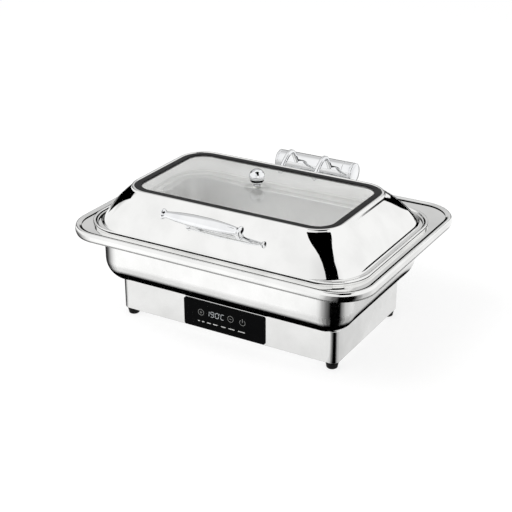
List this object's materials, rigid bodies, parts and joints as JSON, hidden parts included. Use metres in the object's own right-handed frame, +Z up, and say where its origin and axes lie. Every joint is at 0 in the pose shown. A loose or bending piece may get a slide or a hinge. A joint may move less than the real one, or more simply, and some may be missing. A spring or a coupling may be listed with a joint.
{
  "type": "electric chafing dish",
  "caption": "Rectangular electric chafing dish: heated base with touch panel, water pan with wide rim, lift-out food pan, and a hinged domed lid with a glass window.",
  "frame": {"origin": "on the standing surface, under the centre of the rim frame", "axes": "+X to the right seen from the control panel, +Y to the back where the lid hinge is, +Z up"},
  "size_m": [0.6364, 0.4744, 0.3118],
  "materials": {
    "polished_steel": "mirror-polished stainless steel sheet",
    "satin_steel": "satin stainless steel sheet",
    "zinc_steel": "zinc-plated steel",
    "chrome": "bright chrome plate",
    "dark_steel": "dark polished end cap",
    "black_rubber": "matt black silicone or rubber",
    "clear_glass": "clear tempered glass",
    "fascia_plastic": "gloss black touch panel",
    "black_plastic": "matt black moulded plastic",
    "circuit_board": "green glass-fibre board",
    "cast_aluminium": "cast aluminium",
    "element_sheath": "dark oxidised steel sheath",
    "white_ceramic": "white ceramic or mineral board",
    "clear_silicone": "milky silicone",
    "bronze": "sintered bronze",
    "red_insulation": "red wire insulation"
  },
  "bodies": {
    "base": {"base_housing": "polished_steel", "bottom_plate": "zinc_steel", "foot_back_right": "black_rubber", "foot_back_left": "black_rubber", "foot_front_right": "black_rubber", "foot_front_left": "black_rubber", "foot_bolt_back_right": "zinc_steel", "foot_bolt_back_left": "zinc_steel", "foot_bolt_front_right": "zinc_steel", "foot_bolt_front_left": "zinc_steel", "control_fascia": "fascia_plastic", "display_board": "circuit_board", "digit_display": "black_plastic", "control_board": "circuit_board", "board_transformer": "black_plastic", "terminal_block": "white_ceramic", "heating_plate": "cast_aluminium", "heating_element": "element_sheath", "element_bead_front": "white_ceramic", "element_bead_back": "white_ceramic", "insulation_board": "white_ceramic", "heater_tray": "zinc_steel", "temperature_probe": "zinc_steel", "thermal_cutout": "black_plastic", "mains_inlet": "black_plastic", "mains_lead": "black_plastic", "heater_lead_front": "red_insulation", "heater_lead_back": "red_insulation", "water_pan": "polished_steel", "rim_frame": "polished_steel", "hinge_stand_left": "chrome", "hinge_stand_right": "chrome", "hinge_end_cap_left": "dark_steel", "hinge_end_cap_right": "dark_steel", "hinge_shaft": "zinc_steel", "damper_rotor": "black_plastic", "hinge_backing_plate": "zinc_steel", "hinge_stand_screw_left": "zinc_steel", "hinge_stand_screw_right": "zinc_steel"},
    "lid": {"lid_dome": "polished_steel", "window_glass": "clear_glass", "window_gasket": "black_rubber", "ball_knob": "chrome", "knob_washer_lower": "clear_silicone", "knob_washer_upper": "clear_silicone", "knob_screw": "zinc_steel", "handle_grip": "chrome", "handle_post_left": "chrome", "handle_post_right": "chrome", "handle_screw_left": "zinc_steel", "handle_screw_right": "zinc_steel", "hinge_arm_left": "chrome", "hinge_arm_right": "chrome", "hinge_barrel": "chrome", "hinge_bush_left": "bronze", "hinge_bush_right": "bronze", "damper_sleeve": "black_plastic", "arm_bolt_left": "chrome", "arm_bolt_right": "chrome"},
    "food_pan": {"food_pan": "satin_steel"}
  },
  "joints": [
    {"name": "lid_hinge", "type": "hinge", "parent": "base", "child": "lid", "pos_m": [0, 0.216, 0.239], "axis": [-1, 0, 0], "range_deg": [0, 90]},
    {"name": "food_pan_lift", "type": "slide", "parent": "base", "child": "food_pan", "axis": [0, 0, 1], "range_m": [0, 0.02]}
  ]
}
